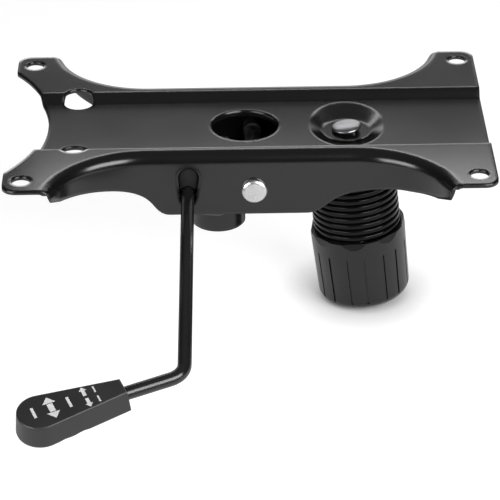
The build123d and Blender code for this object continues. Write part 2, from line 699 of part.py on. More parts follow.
# Lever rod: one bent bar, flattened over the column axis
yaw = math.radians(rod_yaw_deg)
droop = math.radians(rod_droop_deg)
rod_cross = Vector(rod_x, -flange_out_y + 0.3, rod_z)
outward = Vector(-math.sin(yaw) * math.cos(droop), -math.cos(yaw) * math.cos(droop), -math.sin(droop))
corner = rod_cross + outward * rod_reach
paddle_dir = Vector(-0.925, -0.369, -0.093).normalized()
paddle_up = Vector(-0.015, -0.208, 0.978)
paddle_up = (paddle_up - paddle_dir * paddle_up.dot(paddle_dir)).normalized()
inner_corner = rod_cross - outward * rod_inner_straight
tip = inner_corner - outward * rod_inner_run + Vector(rod_inner_side, 0, 0)
fulcrum = rod_cross + outward * ((fulcrum_y - rod_cross.Y) / outward.Y)
clip_point = fulcrum - outward * clip_reach
rod_in_paddle = paddle_len * rod_share
rod_far_end = corner + paddle_dir * (paddle_start + rod_in_paddle)
with BuildPart() as lever_rod:
    with BuildLine() as bar:
        FilletPolyline(tip, inner_corner, corner, rod_far_end, radius=rod_bend_r)
    with BuildSketch(Plane(origin=tip, z_dir=inner_corner - tip)):
        Circle(rod_d / 2)
    sweep(path=bar.wires()[0])
    flat = Plane(origin=tip, x_dir=tip - inner_corner, z_dir=Vector(1, 0, 0).cross(-outward))
    with BuildSketch(flat.offset(-2.2)):
        SlotCenterToCenter(7.0, 11.0)
    extrude(amount=4.4)
    # ring groove for the clip
    with BuildSketch(Plane(origin=clip_point, z_dir=outward)):
        Circle(rod_d / 2 + 1)
        Circle(rod_d / 2 - clip_groove, mode=Mode.SUBTRACT)
    extrude(amount=clip_t / 2 + running_gap, both=True, mode=Mode.SUBTRACT)
lever_rod.part.label = "lever_rod"
export_step(lever_rod.part, "parts/lever_rod.step")

# Lever paddle, moulded over the end of the rod
paddle_side = paddle_up.cross(paddle_dir)
paddle_face = Plane(
    origin=corner + paddle_dir * paddle_start + paddle_up * paddle_top, x_dir=paddle_dir, z_dir=paddle_up,
)
end_half = paddle_half + paddle_len * math.tan(math.radians(paddle_flare_deg))
with BuildPart() as lever_paddle:
    with BuildSketch(paddle_face) as outline:
        with BuildLine():
            Polyline(
                (0, -paddle_half), (paddle_len, -end_half), (paddle_len, end_half), (0, paddle_half),
                close=True,
            )
        make_face()
        ends = outline.vertices().sort_by_distance(paddle_face.from_local_coords((0, 0, 0)))
        fillet(ends[2:], end_half * paddle_end_round)
        fillet(ends[:2], 1.5)
    extrude(amount=-paddle_t, taper=-5.0)
    fillet(lever_paddle.faces().sort_by(Axis.Z)[-1].edges(), 1.2)
    fillet(lever_paddle.faces().sort_by(Axis.Z)[0].edges(), 2.0)
    # two finger hollows across the underside
    for share, hollow_r, hollow_depth in zip(hollow_shares, hollow_radii, hollow_depths):
        centre = paddle_face.from_local_coords((paddle_len * share, 0, -paddle_t - hollow_r + hollow_depth))
        with BuildSketch(Plane(origin=centre, x_dir=paddle_dir, z_dir=paddle_face.y_dir)):
            Circle(hollow_r)
        extrude(amount=60, both=True, mode=Mode.SUBTRACT)
    # blind hole that grips the rod
    with BuildSketch(Plane(origin=corner + paddle_dir * (paddle_start - 5), z_dir=paddle_dir)):
        Circle(rod_d / 2)
    extrude(amount=rod_in_paddle + 5, mode=Mode.SUBTRACT)
lever_paddle.part.label = "lever_paddle"
export_step(lever_paddle.part, "parts/lever_paddle.step")

# Lever shoe: a saddle above the rod that slides in the window of the near wall
mid_droop = math.radians(rod_droop_deg - lift_max_deg / 2)
mid_dir = Vector(
    -math.sin(yaw) * math.cos(mid_droop), -math.cos(yaw) * math.cos(mid_droop), -math.sin(mid_droop),
)
rod_up = Vector(1, 0, 0).cross(-outward).normalized()
with BuildPart() as lever_shoe:
    body = egg_sketch(slot_top_r - shoe_gap, shoe_top_z, slot_low_r - shoe_gap, shoe_low_z)
    lip = egg_sketch(slot_top_r + shoe_lip, shoe_top_z, slot_low_r + shoe_lip, shoe_low_z)
    back_y = shoe_len - shoe_face_y
    add(Pos(0, back_y, 0) * extrude(body, amount=shoe_len, mode=Mode.PRIVATE))
    front_rim = lever_shoe.faces().sort_by(Axis.Y)[0].edges()
    chamfer(front_rim, 0.8)
    add(Pos(0, back_y, 0) * extrude(lip, amount=shoe_lip_t, mode=Mode.PRIVATE))
    # low behind the nose, so that the valley passes above it at full tilt
    with BuildSketch(Plane.XY.offset(shoe_back_z)):
        with Locations((slot_x, shoe_nose - shoe_face_y + 15)):
            Rectangle(40, 30)
    extrude(amount=30, mode=Mode.SUBTRACT)
    # open below, along the rod
    with BuildSketch(Plane(origin=fulcrum + rod_up * 2.0, x_dir=(1, 0, 0), z_dir=rod_up)):
        Rectangle(60, 60)
    extrude(amount=-30, mode=Mode.SUBTRACT)
    # flared saddle that lets the rod rock
    saddle_r = rod_d / 2 + 0.15
    for way in (1, -1):
        with Locations(Plane(origin=fulcrum, z_dir=mid_dir * way)):
            Cone(saddle_r, saddle_r + 20 * math.tan(math.radians(lift_max_deg / 2 + 0.8)), 20,
                 align=(Align.CENTER, Align.CENTER, Align.MIN), mode=Mode.SUBTRACT)
    # pocket across the shoe for the clip
    with Locations((slot_x, clip_point.Y - 0.1, clip_point.Z)):
        Box(40, clip_t + 3.2, 2 * (clip_d / 2 + 1.2), mode=Mode.SUBTRACT)
lever_shoe.part.label = "lever_shoe"
export_step(lever_shoe.part, "parts/lever_shoe.step")

# Clip in the ring groove of the rod, open at one side
with BuildPart() as rod_clip:
    with BuildSketch(Plane(origin=clip_point, x_dir=(1, 0, 0), z_dir=outward)):
        Circle(clip_d / 2)
        Circle(rod_d / 2 - clip_groove, mode=Mode.SUBTRACT)
        with Locations((0, clip_d / 2)):
            Rectangle(rod_d - 3.0, clip_d, mode=Mode.SUBTRACT)
    extrude(amount=clip_t / 2, both=True)
rod_clip.part.label = "rod_clip"
export_step(rod_clip.part, "parts/rod_clip.step")
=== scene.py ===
"""Looks of an office chair tilt control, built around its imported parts."""

import math

import bpy
import numpy as np
from mathutils import Matrix, Vector


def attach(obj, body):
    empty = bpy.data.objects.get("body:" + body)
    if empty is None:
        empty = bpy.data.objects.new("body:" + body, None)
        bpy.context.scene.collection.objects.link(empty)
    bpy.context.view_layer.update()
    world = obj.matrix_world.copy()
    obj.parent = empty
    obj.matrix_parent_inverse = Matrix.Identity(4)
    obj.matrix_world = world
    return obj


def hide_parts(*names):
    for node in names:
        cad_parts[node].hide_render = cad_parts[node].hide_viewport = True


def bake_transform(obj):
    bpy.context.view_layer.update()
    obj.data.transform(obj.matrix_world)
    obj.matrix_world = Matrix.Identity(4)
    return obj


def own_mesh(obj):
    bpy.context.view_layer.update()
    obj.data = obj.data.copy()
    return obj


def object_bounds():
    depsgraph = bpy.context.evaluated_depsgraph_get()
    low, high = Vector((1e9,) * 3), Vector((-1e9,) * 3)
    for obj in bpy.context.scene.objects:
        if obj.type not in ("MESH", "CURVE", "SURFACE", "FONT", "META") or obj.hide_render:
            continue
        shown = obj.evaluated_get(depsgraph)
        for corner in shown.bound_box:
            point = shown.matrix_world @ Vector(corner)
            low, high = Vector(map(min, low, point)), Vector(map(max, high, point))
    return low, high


bl_info = {
    "name": "Chair Tilt Control Looks",
    "version": (1, 0, 0),
    "blender": (4, 5, 0),
    "location": "3D View > Sidebar > Tilt Control",
    "description": "Finishes and fine pieces of a chair tilt control",
    "category": "Object",
}

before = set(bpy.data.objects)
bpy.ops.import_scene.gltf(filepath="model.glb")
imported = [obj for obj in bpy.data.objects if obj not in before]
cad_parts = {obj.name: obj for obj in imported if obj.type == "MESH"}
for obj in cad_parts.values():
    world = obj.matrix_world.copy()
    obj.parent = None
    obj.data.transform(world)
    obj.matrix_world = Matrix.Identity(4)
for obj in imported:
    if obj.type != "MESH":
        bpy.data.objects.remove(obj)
cad_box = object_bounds()

MM = 0.001
TAU = 2 * math.pi
# Middle of the pivot axle, which the seat plate turns on
PIVOT = Vector((0.0026, 0.0, -0.0238))
# Full tilt of the seat plate, and the swing of the bolt that goes with it
FULL_TILT = math.radians(10.0)
FULL_SWING = math.radians(5.0)
# Line of the bolt and spring, from the centre of the ball seat
LEAN = math.radians(6.4)
BALL_CENTRE = Vector((0.05691, 0.0, 0.0035))
LINE_X = Vector((math.cos(LEAN), 0.0, math.sin(LEAN)))
LINE_Z = Vector((-math.sin(LEAN), 0.0, math.cos(LEAN)))
LINE_Y = LINE_Z.cross(LINE_X)
# Grip face of the lever paddle, from the bend of the rod that carries it
ROD_CORNER = Vector((-0.037964, -0.190370, -0.059188))
PADDLE_DIR = Vector((-0.925, -0.369, -0.093)).normalized()
GRIP_UP = Vector((-0.015, -0.208, 0.978))
PADDLE_UP = (GRIP_UP - PADDLE_DIR * GRIP_UP.dot(PADDLE_DIR)).normalized()
PADDLE_SIDE = PADDLE_UP.cross(PADDLE_DIR)
PADDLE_REACH = 34.9 * MM
PADDLE_RISE = 6.6 * MM
PADDLE_FACE = ROD_CORNER + PADDLE_DIR * PADDLE_REACH + PADDLE_UP * PADDLE_RISE


# Settings that a user would change

class CoatSettings(bpy.types.PropertyGroup):
    """Powder coat of the pressed and welded steel"""
    color: bpy.props.FloatVectorProperty(
        name="Coat colour", description="Colour of the powder coat", subtype="COLOR",
        size=3, min=0, max=1, default=(0.0035, 0.0035, 0.0036))
    roughness: bpy.props.FloatProperty(
        name="Roughness", description="How dull the powder coat is", default=0.2, min=0, max=1,
        subtype="FACTOR")
    peel: bpy.props.FloatProperty(
        name="Orange peel", description="Size of the ripples in the coat", default=0.0016, min=0.0002,
        max=0.01, subtype="DISTANCE")
    weld_size: bpy.props.FloatProperty(
        name="Weld size", description="Radius of the weld bead", default=0.0019, min=0.0005, max=0.004,
        subtype="DISTANCE")


class SpringSettings(bpy.types.PropertyGroup):
    """Coil spring under the bracket"""
    radius: bpy.props.FloatProperty(
        name="Coil radius", description="From the axis to the middle of the wire", default=0.0235,
        min=0.01, max=0.03, subtype="DISTANCE")
    wire_width: bpy.props.FloatProperty(
        name="Wire width", description="Across the coil", default=0.0056, min=0.001, max=0.008,
        subtype="DISTANCE")
    wire_height: bpy.props.FloatProperty(
        name="Wire height", description="Along the coil", default=0.00325, min=0.001, max=0.004,
        subtype="DISTANCE")
    pitch: bpy.props.FloatProperty(
        name="Pitch", description="From one turn to the next", default=0.00412, min=0.003, max=0.008,
        subtype="DISTANCE")
    turns: bpy.props.FloatProperty(
        name="Turns", description="Number of turns", default=15.5, min=1, max=16)


class PlasticSettings(bpy.types.PropertyGroup):
    """Moulded knob and lever paddle"""
    knob_color: bpy.props.FloatVectorProperty(
        name="Knob colour", description="Colour of the knob", subtype="COLOR", size=3, min=0, max=1,
        default=(0.0035, 0.0035, 0.0036))
    paddle_color: bpy.props.FloatVectorProperty(
        name="Paddle colour", description="Colour of the lever paddle", subtype="COLOR", size=3, min=0,
        max=1, default=(0.014, 0.014, 0.015))
    mark_color: bpy.props.FloatVectorProperty(
        name="Mark colour", description="Colour of the printed arrows", subtype="COLOR", size=3, min=0,
        max=1, default=(0.55, 0.55, 0.56))


class StageSettings(bpy.types.PropertyGroup):
    """Floor, lamps and camera"""
    floor_height: bpy.props.FloatProperty(
        name="Floor height", description="Height of the floor", default=cad_box[0].z, subtype="DISTANCE")
    lens: bpy.props.FloatProperty(
        name="Lens", description="Focal length of the camera in millimetres", default=187.2, min=20,
        max=400)
    distance: bpy.props.FloatProperty(
        name="Distance", description="From the camera to what it looks at", default=1.5822, min=0.3,
        max=5, subtype="DISTANCE")


# Materials

class Nodes:
    """A node tree, built node by node."""

    def __init__(self, owner):
        owner.use_nodes = True
        self.tree = owner.node_tree
        self.tree.nodes.clear()

    def add(self, kind, settings=None, **inputs):
        """A new node. Its inputs are given by name, or by place as i0, i1 and so on."""
        item = self.tree.nodes.new(kind)
        for key, value in (settings or {}).items():
            setattr(item, key, value)
        for key, value in inputs.items():
            by_place = key[0] == "i" and key[1:].isdigit()
            socket = item.inputs[int(key[1:]) if by_place else key.replace("_", " ")]
            if isinstance(value, bpy.types.NodeSocket):
                self.tree.links.new(value, socket)
            else:
                socket.default_value = value
        return item

    def math(self, operation, first, second=0.0, clamp=False):
        settings = {"operation": operation, "use_clamp": clamp}
        return self.add("ShaderNodeMath", settings, i0=first, i1=second).outputs[0]

    def ramp(self, value, low, high, start=0.3, end=0.7):
        """Goes smoothly from low to high while value goes from start to end."""
        return self.add("ShaderNodeMapRange", {"interpolation_type": "SMOOTHSTEP"}, Value=value,
                        From_Min=start, From_Max=end, To_Min=low, To_Max=high).outputs[0]


class Finish(Nodes):
    """Node tree of one material."""

    def __init__(self, name):
        self.material = bpy.data.materials.new(name)
        super().__init__(self.material)
        self.output = self.tree.nodes.new("ShaderNodeOutputMaterial")
        self.place = self.add("ShaderNodeTexCoord").outputs["Object"]

    def noise(self, size, detail=3.0, rough=0.55):
        return self.add("ShaderNodeTexNoise", Vector=self.place, Scale=1 / size, Detail=detail,
                        Roughness=rough).outputs[0]

    def bump(self, height, depth, strength=1.0, below=None):
        item = self.add("ShaderNodeBump", Height=height, Distance=depth, Strength=strength)
        if below is not None:
            self.tree.links.new(below, item.inputs["Normal"])
        return item.outputs[0]

    def mix(self, factor, low, high):
        item = self.add("ShaderNodeMix", {"data_type": "RGBA"})
        for socket, value in ((item.inputs[0], factor), (item.inputs[6], low), (item.inputs[7], high)):
            if isinstance(value, bpy.types.NodeSocket):
                self.tree.links.new(value, socket)
            else:
                socket.default_value = value if socket == item.inputs[0] else (*value, 1)
        return item.outputs[2]

    def vector(self, operation, first, second, output=0):
        return self.add("ShaderNodeVectorMath", {"operation": operation}, i0=first,
                        i1=second).outputs[output]

    def soft_normal(self, radius, samples):
        """Normals rounded over the edges."""
        return self.add("ShaderNodeBevel", {"samples": samples}, Radius=radius).outputs[0]

    def edge(self, radius):
        """1 on edges, 0 on flat faces; the materials paint a highlight along them."""
        plain = self.add("ShaderNodeNewGeometry").outputs["Normal"]
        dot = self.vector("DOT_PRODUCT", self.soft_normal(radius, 6), plain, "Value")
        return self.ramp(dot, 1.0, 0.0, start=0.8, end=0.98)

    def close(self, **inputs):
        shader = self.add("ShaderNodeBsdfPrincipled", **inputs)
        self.tree.links.new(shader.outputs[0], self.output.inputs["Surface"])
        return self.material


def shaded(color, share, lift=0.0):
    """A share of a colour, with some grey added."""
    return tuple(c * share + lift for c in color)


def powder_coat(name, color, roughness, peel, bend=0.003):
    f = Finish(name)
    wave = f.noise(peel, 2.0)
    cloud = f.noise(0.05, 2.0, 0.4)
    speck = f.noise(0.00035, 2.0)
    normal = f.bump(wave, 0.00002, 0.2, f.soft_normal(bend, 8))
    normal = f.bump(speck, 0.00001, 0.2, normal)
    # Lighter along the edges, mixed in below: a painted edge highlight
    painted_edge_highlight = f.ramp(f.edge(0.0006), 0.0, 0.4, start=0.2, end=1.0)
    shade = f.mix(f.ramp(cloud, 0.0, 1.0), shaded(color, 0.94), shaded(color, 1.06))
    shade = f.mix(painted_edge_highlight, shade, shaded(color, 2, 0.006))
    rough = f.ramp(cloud, roughness - 0.008, roughness + 0.008)
    # Less mirroring at a low angle, where a smooth coat would mirror the softboxes as white
    low_angle = f.add("ShaderNodeLayerWeight", Blend=0.5).outputs["Facing"]
    mirror = f.ramp(low_angle, 0.5, 0.008, start=0.57, end=0.73)
    return f.close(Base_Color=shade, Roughness=rough, Normal=normal, IOR=1.5, Specular_IOR_Level=mirror)


def zinc_plate(name, color, roughness, centre=None, axis=None, groove_pitch=0.0011):
    """Zinc on steel, with turned grooves round an axis where it has one."""
    f = Finish(name)
    cloud = f.noise(0.006, 4.0)
    grain = f.noise(0.0005, 3.0)
    normal = f.bump(grain, 0.00002, 0.3)
    if centre is not None:
        moved = f.vector("SUBTRACT", f.place, centre)
        across = f.vector("MULTIPLY", moved, tuple(1 - abs(a) for a in axis))
        radius = f.add("ShaderNodeVectorMath", {"operation": "LENGTH"}, i0=across).outputs["Value"]
        grooves = f.math("SINE", f.math("MULTIPLY", radius, TAU / groove_pitch))
        normal = f.bump(grooves, 0.00002, 0.5, normal)
    shade = f.mix(f.ramp(cloud, 0.0, 1.0), shaded(color, 0.85), color)
    rough = f.ramp(cloud, roughness - 0.05, roughness + 0.08)
    return f.close(Base_Color=shade, Metallic=1.0, Roughness=rough, Normal=normal)


def black_oxide(name, color, roughness):
    f = Finish(name)
    grain = f.noise(0.0009, 3.0)
    oil = f.noise(0.012, 3.0)
    shade = f.mix(f.ramp(oil, 0.0, 1.0), color, shaded(color, 1.9))
    rough = f.ramp(oil, roughness - 0.03, roughness + 0.05)
    normal = f.bump(grain, 0.00001, 0.3)
    return f.close(Base_Color=shade, Roughness=rough, Normal=normal, Specular_IOR_Level=0.16)


def moulded(name, color, roughness, grain=0.0006, depth=0.00003, edge=0.4):
    f = Finish(name)
    leather = f.add("ShaderNodeTexVoronoi", {"feature": "SMOOTH_F1"}, Vector=f.place, Scale=1 / grain)
    cloud = f.noise(0.018, 3.0)
    normal = f.bump(leather.outputs[0], depth, 0.5)
    # Lighter along the edges, mixed in below: a painted edge highlight
    painted_edge_highlight = f.ramp(f.edge(0.0007), 0.0, edge, start=0.2, end=1.0)
    shade = f.mix(f.ramp(cloud, 0.0, 1.0), shaded(color, 0.92), shaded(color, 1.08))
    shade = f.mix(painted_edge_highlight, shade, shaded(color, 2, 0.01))
    rough = f.ramp(cloud, roughness - 0.04, roughness + 0.04)
    return f.close(Base_Color=shade, Roughness=rough, Normal=normal, IOR=1.5, Specular_IOR_Level=0.45)


def rubber(name, color, roughness):
    f = Finish(name)
    grain = f.noise(0.0007, 4.0)
    dust = f.noise(0.008, 4.0)
    shade = f.mix(f.ramp(dust, 0.0, 0.6), color, shaded(color, 1.8, 0.01))
    rough = f.ramp(dust, roughness - 0.05, roughness + 0.08)
    return f.close(Base_Color=shade, Roughness=rough, Normal=f.bump(grain, 0.00004, 0.5))


def printed(name, color):
    f = Finish(name)
    cover = f.noise(0.0012, 4.0)
    shade = f.mix(f.ramp(cover, 0.0, 1.0), shaded(color, 0.8), color)
    rough = f.ramp(cover, 0.5, 0.7)
    return f.close(Base_Color=shade, Roughness=rough, Normal=f.bump(cover, 0.00002, 0.3))


def dress(material, *nodes):
    """Gives CAD nodes a material."""
    for name in nodes:
        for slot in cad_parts[name].material_slots:
            slot.material = material


# Meshes

def put_in_scene(name, data):
    item = bpy.data.objects.new(name, data)
    bpy.context.scene.collection.objects.link(item)
    return item


def mesh_object(name, points, faces, material, smooth=True):
    mesh = bpy.data.meshes.new(name)
    mesh.from_pydata([tuple(p) for p in points], [], faces)
    mesh.validate()
    mesh.polygons.foreach_set("use_smooth", [smooth] * len(mesh.polygons))
    mesh.materials.append(material)
    return put_in_scene(name, mesh)


def ring_faces(rings, per_ring, closed=False):
    """Quads between rings of points, with caps unless the rings run in a loop."""
    faces = []
    for ring in range(rings if closed else rings - 1):
        a, b = ring * per_ring, (ring + 1) % rings * per_ring
        for k in range(per_ring):
            after = (k + 1) % per_ring
            faces.append((a + k, a + after, b + after, b + k))
    if not closed:
        last = (rings - 1) * per_ring
        faces += [tuple(reversed(range(per_ring))), tuple(range(last, last + per_ring))]
    return faces


def on_line(x, y, h):
    """Point of the bolt line's own frame, in the row frame."""
    return BALL_CENTRE + LINE_X * x + LINE_Y * y + LINE_Z * h


def rounded_section(width, height, count, power=5.0):
    """Points of a rectangle with rounded corners, round its middle."""
    points = []
    for k in range(count):
        angle = TAU * k / count + TAU / (2 * count)
        c, s = math.cos(angle), math.sin(angle)
        reach = (abs(c) ** power + abs(s) ** power) ** (-1 / power)
        points.append((width / 2 * c * reach, height / 2 * s * reach))
    return points


# Pieces and finishes, one operator for each group

class TILT_OT_coat(bpy.types.Operator):
    """Powder coat on the pressed and welded steel"""
    bl_idname = "tilt.coat"
    bl_label = "Coat The Steel"
    # The welded parts have a duller coat with finer ripples than the plate
    duller = 0.06
    finer = 0.8

    def execute(self, context):
        s = context.scene.tilt_coat
        plate = powder_coat("powder_black", s.color, s.roughness, s.peel)
        welded = powder_coat("socket_black", s.color, s.roughness + self.duller, s.peel * self.finer)
        dress(plate, "seat_plate")
        dress(welded, "lower_bracket", "socket_brace", "column_socket")
        return {"FINISHED"}


class TILT_OT_weld(bpy.types.Operator):
    """Weld bead round the column socket, where it leaves the bracket"""
    bl_idname = "tilt.weld"
    bl_label = "Weld The Socket"
    tube_radius = 16.3 * MM
    middle_x = -18.6 * MM
    # Underside of the bracket: two slopes that meet in a rounded keel
    keel_x = -18.0 * MM
    keel_z = -46.3 * MM
    keel_round = 1.5 * MM
    rise_front = math.tan(math.radians(20.0))
    rise_rear = 3.8 / 35.0
    outward = 0.3 * MM
    duller = 0.05
    rings, sides = 330, 12
    # The bead's ripples drift a little, and its size goes from a smallest share up, by ripple and by chance
    ripples, drift = 55, 0.6
    smallest, ripple_share, chance_share = 0.86, 0.14, 0.02

    def underside(self, x):
        ahead = x - self.keel_x
        front, rear = self.rise_front * ahead, -self.rise_rear * ahead
        return self.keel_z + (front + rear + math.hypot(front - rear, self.keel_round)) / 2

    def execute(self, context):
        s = context.scene.tilt_coat
        rng = np.random.default_rng(4)
        points = []
        for ring in range(self.rings):
            angle = TAU * ring / self.rings
            x = self.middle_x + self.tube_radius * math.cos(angle)
            out = Vector((math.cos(angle), math.sin(angle), 0.0))
            middle = Vector((x, self.tube_radius * math.sin(angle), self.underside(x))) + out * self.outward
            crest = abs(math.sin(self.ripples * angle / 2 + self.drift * math.sin(3 * angle)))
            share = self.smallest + self.ripple_share * crest + self.chance_share * rng.normal()
            size = s.weld_size * share
            for side in range(self.sides):
                turn = TAU * side / self.sides
                around = out * size * math.cos(turn) + Vector((0, 0, size * math.sin(turn)))
                points.append(middle + around)
        coat = powder_coat("weld_black", s.color, s.roughness + self.duller, s.peel)
        bead = mesh_object("socket_weld", points, ring_faces(self.rings, self.sides, True), coat)
        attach(bead, "bracket")
        return {"FINISHED"}


class TILT_OT_spring(bpy.types.Operator):
    """Coil spring of flat wire, with its ends ground flat"""
    bl_idname = "tilt.spring"
    bl_label = "Wind The Spring"
    seat_h = -33.3 * MM
    seat_gap = 0.25 * MM
    ground_off = 0.05 * MM
    start_angle = math.radians(200.0)
    # Turns where the upper part ends and the lower one starts. The half turn between them is inside the
    # knob, on the side where full tilt brings the two parts closer.
    upper_end, lower_start = 10.194, 10.694
    steps_per_turn = 72
    section_points = 24
    oxide = (0.0015, 0.0015, 0.0016)
    dullness = 0.18

    def wind(self, s, first, last):
        """Points and faces of the coil from one turn to another."""
        section = rounded_section(s.wire_width, s.wire_height, self.section_points)
        steps = int((last - first) * self.steps_per_turn)
        top = self.seat_h - self.seat_gap
        low = top - s.wire_height - s.turns * s.pitch
        points = []
        for step in range(steps + 1):
            turn = first + (last - first) * step / steps
            angle = self.start_angle + TAU * turn
            h = top - s.wire_height / 2 - s.pitch * turn
            for out, up in section:
                reach = s.radius + out
                height = min(max(h + up, low + self.ground_off), top - self.ground_off)
                points.append(on_line(reach * math.cos(angle), reach * math.sin(angle), height))
        return points, ring_faces(steps + 1, len(section))

    def tilted(self, point):
        """Where full tilt takes a point of the bolt."""
        for middle, angle in ((BALL_CENTRE, FULL_SWING), (PIVOT, -FULL_TILT)):
            point = middle + Matrix.Rotation(angle, 3, "Y") @ (point - middle)
        return point

    def execute(self, context):
        s = context.scene.tilt_spring
        steel = black_oxide("spring_black", self.oxide, self.dullness)
        coil = mesh_object("spring_coil", *self.wind(s, 0.0, self.upper_end), steel)
        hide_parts("tension_spring")
        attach(coil, "bracket")
        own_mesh(coil)
        lower = mesh_object("spring_end", *self.wind(s, self.lower_start, s.turns), steel)
        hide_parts("tension_spring")
        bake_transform(lower)
        return {"FINISHED"}


class TILT_OT_bolt(bpy.types.Operator):
    """Tension bolt with its dome, ball underside, square neck and thread"""
    bl_idname = "tilt.bolt"
    bl_label = "Turn The Bolt"
    # Sizes in millimetres along and across the bolt line, heights from the ball centre
    ball = 14.0
    head_r = 8.7
    head_h = 2.7
    band = 0.6
    head_edge = 0.1
    crown_r = 0.4
    shank_r = 5.0
    neck_half = 4.9
    neck_round = 0.8
    neck_len = 9.0
    neck_top = -13.5
    # How far under the rim the ball underside starts to show the neck
    neck_start = 0.5
    # How far the neck's lower edge has sunk in at some heights above its end
    neck_edge = ((0.4, 0.0), (0.1, 0.25), (0.0, 0.6))
    # Plain shank: from just under the neck to just above the thread
    under_neck = 0.02
    above_thread = 0.3
    shank_len = 101.0
    pitch = 1.5
    thread_len = 32.0
    thread_depth = 0.9
    thread_ring = 0.15
    flank_slope = 3.2
    crest_share = 0.25
    tip_chamfer = 1.0
    dome_shape = 0.9
    dome_rings = 16
    ball_rings = 8
    sides = 96
    zinc = (0.30, 0.30, 0.31)
    dullness = 0.33

    def neck_reach(self, angle):
        """Radius of the square neck in one direction."""
        c, s = sorted((abs(math.cos(angle)), abs(math.sin(angle))))
        flat = self.neck_half / s
        inner = self.neck_half - self.neck_round
        if flat * c <= inner:
            return flat
        middle = inner * (c + s)
        return middle + math.sqrt(max(middle * middle - 2 * inner * inner + self.neck_round ** 2, 0))

    def thread(self, h, angle, start, end):
        """Radius of the threaded part: a cut with sloping flanks, run out at the top."""
        phase = (h / self.pitch + angle / TAU) % 1.0
        cut = max(0.0, min(1.0, (0.5 - abs(phase - 0.5)) * self.flank_slope - self.crest_share))
        fade = min(1.0, max(0.0, (start - h) / (2 * self.pitch)))
        tip = max(0.0, self.tip_chamfer - (h - end))
        return min(self.shank_r - self.thread_depth * cut * fade, self.shank_r - tip)

    def head(self, rim):
        """Heights and radii of the dome, the band and the ball underside."""
        dome = self.head_h - self.band
        for k in range(1, self.dome_rings + 1):
            turn = math.pi / 2 * k / self.dome_rings
            height = dome * math.cos(turn) ** self.dome_shape
            yield rim + self.band + height, self.head_r * math.sin(turn)
        yield rim + self.head_edge, self.head_r
        yield rim, self.head_r - self.head_edge
        for k in range(1, self.ball_rings + 1):
            r = self.head_r + (self.shank_r - self.head_r) * k / self.ball_rings
            yield -math.sqrt(self.ball ** 2 - r * r), r

    def rings(self):
        """Each ring of the bolt, from the top of its dome down, as a height and a radius by angle."""
        rim = -math.sqrt(self.ball ** 2 - self.head_r ** 2)
        end = rim - self.shank_len
        neck_low = rim + self.band / 2 - self.neck_len
        start = end + self.thread_len
        yield rim + self.head_h, lambda a: self.crown_r
        for h, r in self.head(rim):
            in_neck = h < rim - self.neck_start
            yield h, lambda a, r=r, in_neck=in_neck: max(r, self.neck_reach(a)) if in_neck else r
        yield self.neck_top, lambda a: max(self.shank_r, self.neck_reach(a))
        for up, sink in self.neck_edge:
            yield neck_low + up, lambda a, sink=sink: max(self.shank_r, self.neck_reach(a) - sink)
        for h in (neck_low - self.under_neck, start + self.above_thread):
            yield h, lambda a: self.shank_r
        count = int((start - end) / self.thread_ring)
        for k in range(count + 1):
            h = start - (start - end) * k / count
            yield h, lambda a, h=h: self.thread(h, a, start, end)

    def execute(self, context):
        angles = [TAU * k / self.sides for k in range(self.sides)]
        rings = list(self.rings())
        points = [on_line(reach(a) * math.cos(a) * MM, reach(a) * math.sin(a) * MM, h * MM)
                  for h, reach in rings for a in angles]
        faces = [tuple(reversed(f)) for f in ring_faces(len(rings), self.sides)]
        zinc = zinc_plate("bolt_zinc", self.zinc, self.dullness)
        bolt = mesh_object("bolt_turned", points, faces, zinc)
        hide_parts("tension_bolt")
        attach(bolt, "bolt")
        return {"FINISHED"}


class TILT_OT_hardware(bpy.types.Operator):
    """Zinc on the axle, washers, nut and clip"""
    bl_idname = "tilt.hardware"
    bl_label = "Plate The Hardware"

    def execute(self, context):
        axle = zinc_plate("axle_zinc", (0.66, 0.66, 0.66), 0.3, centre=tuple(PIVOT), axis=(0, 1, 0))
        dress(axle, "pivot_axle")
        washers = zinc_plate("washer_zinc", (0.55, 0.55, 0.56), 0.32)
        dress(washers, "spring_seat", "thrust_washer", "knob_nut")
        dress(zinc_plate("clip_steel", (0.45, 0.45, 0.46), 0.25), "rod_clip")
        return {"FINISHED"}


class TILT_OT_knob(bpy.types.Operator):
    """Moulded grain on the tension knob"""
    bl_idname = "tilt.knob"
    bl_label = "Mould The Knob"

    def execute(self, context):
        s = context.scene.tilt_plastic
        dress(moulded("knob_plastic", s.knob_color, 0.3, depth=0.000015, edge=0.15), "tension_knob")
        return {"FINISHED"}


